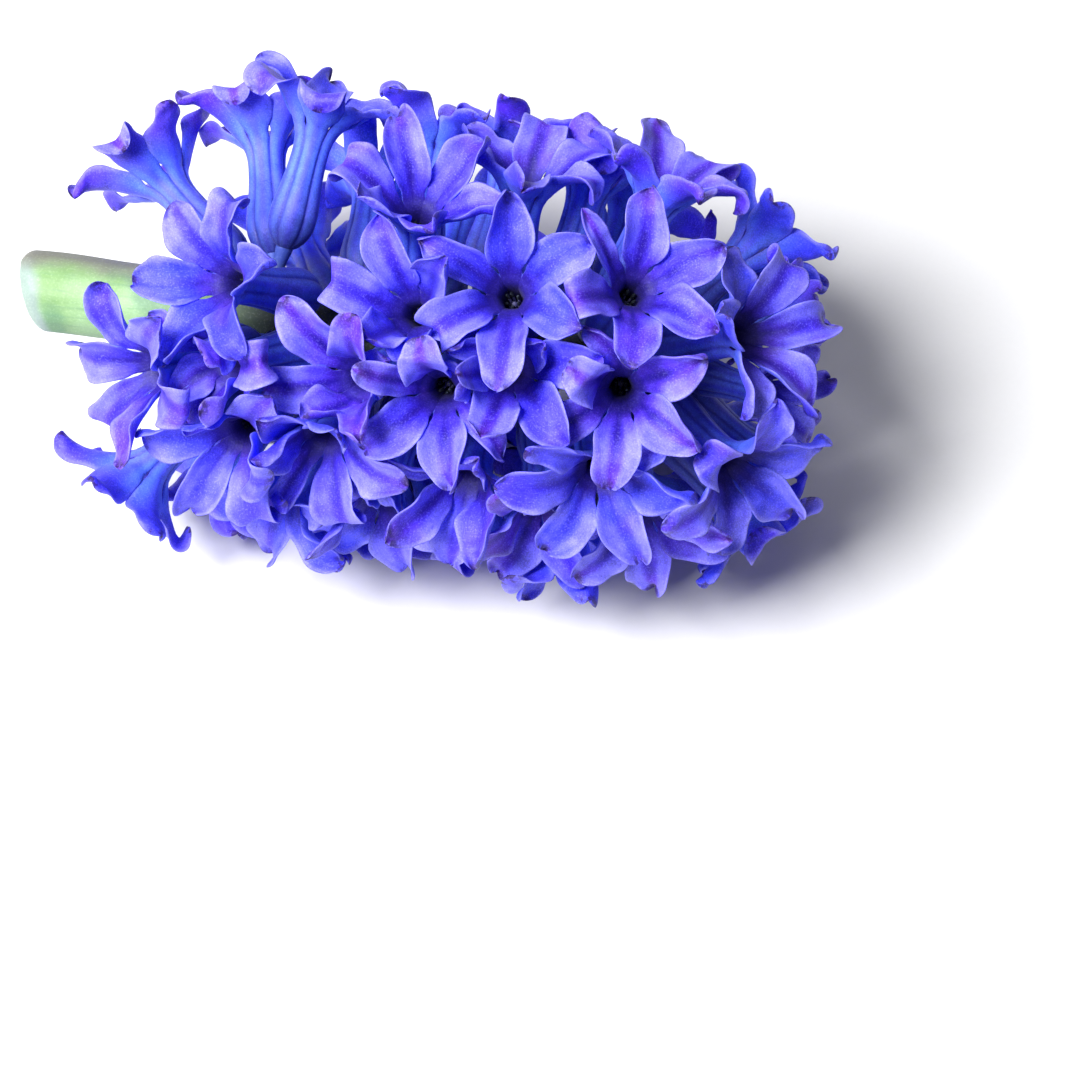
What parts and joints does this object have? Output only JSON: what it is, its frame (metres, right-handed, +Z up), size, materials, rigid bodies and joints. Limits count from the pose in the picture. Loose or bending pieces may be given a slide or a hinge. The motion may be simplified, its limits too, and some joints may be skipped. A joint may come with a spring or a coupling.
{
  "type": "hyacinth flower",
  "caption": "Cut flower head lying down: bell florets with recurved lobes set all round a thick green stalk.",
  "frame": {"origin": "on the surface that the flower lies on, under the middle of its bounding box", "axes": "+X along the stalk from its cut end towards the flower's tip, +Z up from the surface"},
  "size_m": [0.1436, 0.0862, 0.0811],
  "materials": {
    "stalk": null,
    "petal": null
  },
  "bodies": {
    "root": {"scape": "stalk", "floret_01": "petal", "floret_02": "petal", "floret_03": "petal", "floret_04": "petal", "floret_05": "petal", "floret_06": "petal", "floret_07": "petal", "floret_08": "petal", "floret_09": "petal", "floret_10": "petal", "floret_11": "petal", "floret_12": "petal", "floret_13": "petal", "floret_14": "petal", "floret_15": "petal", "floret_16": "petal", "floret_17": "petal", "floret_18": "petal", "floret_19": "petal", "floret_20": "petal", "floret_21": "petal", "floret_22": "petal", "floret_23": "petal", "floret_24": "petal", "floret_25": "petal", "floret_26": "petal", "floret_27": "petal", "floret_28": "petal", "floret_29": "petal", "floret_30": "petal", "floret_31": "petal", "floret_32": "petal", "floret_33": "petal", "floret_34": "petal", "floret_35": "petal", "floret_36": "petal", "floret_37": "petal", "floret_38": "petal", "floret_39": "petal", "floret_40": "petal", "floret_41": "petal", "floret_42": "petal", "floret_43": "petal", "floret_44": "petal", "floret_45": "petal", "floret_46": "petal", "floret_47": "petal", "floret_48": "petal", "floret_49": "petal", "floret_50": "petal", "floret_51": "petal", "floret_52": "petal", "floret_53": "petal", "floret_54": "petal"}
  },
  "joints": []
}
